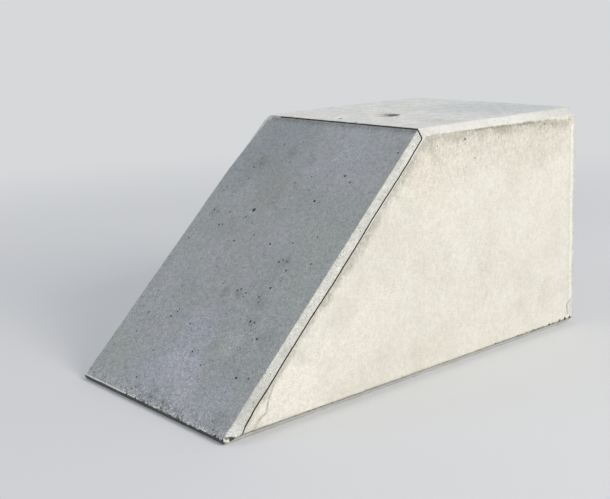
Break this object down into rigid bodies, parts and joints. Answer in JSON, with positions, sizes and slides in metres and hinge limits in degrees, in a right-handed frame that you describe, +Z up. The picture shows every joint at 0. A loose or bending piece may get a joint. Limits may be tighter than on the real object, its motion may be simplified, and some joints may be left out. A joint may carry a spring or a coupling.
{
  "type": "concrete kerb stone",
  "caption": "Solid cast concrete kerb stone with a sloped nose, a flat top, chamfered sides and a round recess in the top for lifting.",
  "frame": {"origin": "on the base, midway along the length and the width", "axes": "+Z up, +Y along the length from the sloped nose to the upright back, +X to the side"},
  "size_m": [0.5, 1, 0.5],
  "materials": {
    "concrete": "matt cast concrete with small air holes"
  },
  "bodies": {
    "root": {"kerb_stone": "concrete"}
  },
  "joints": []
}
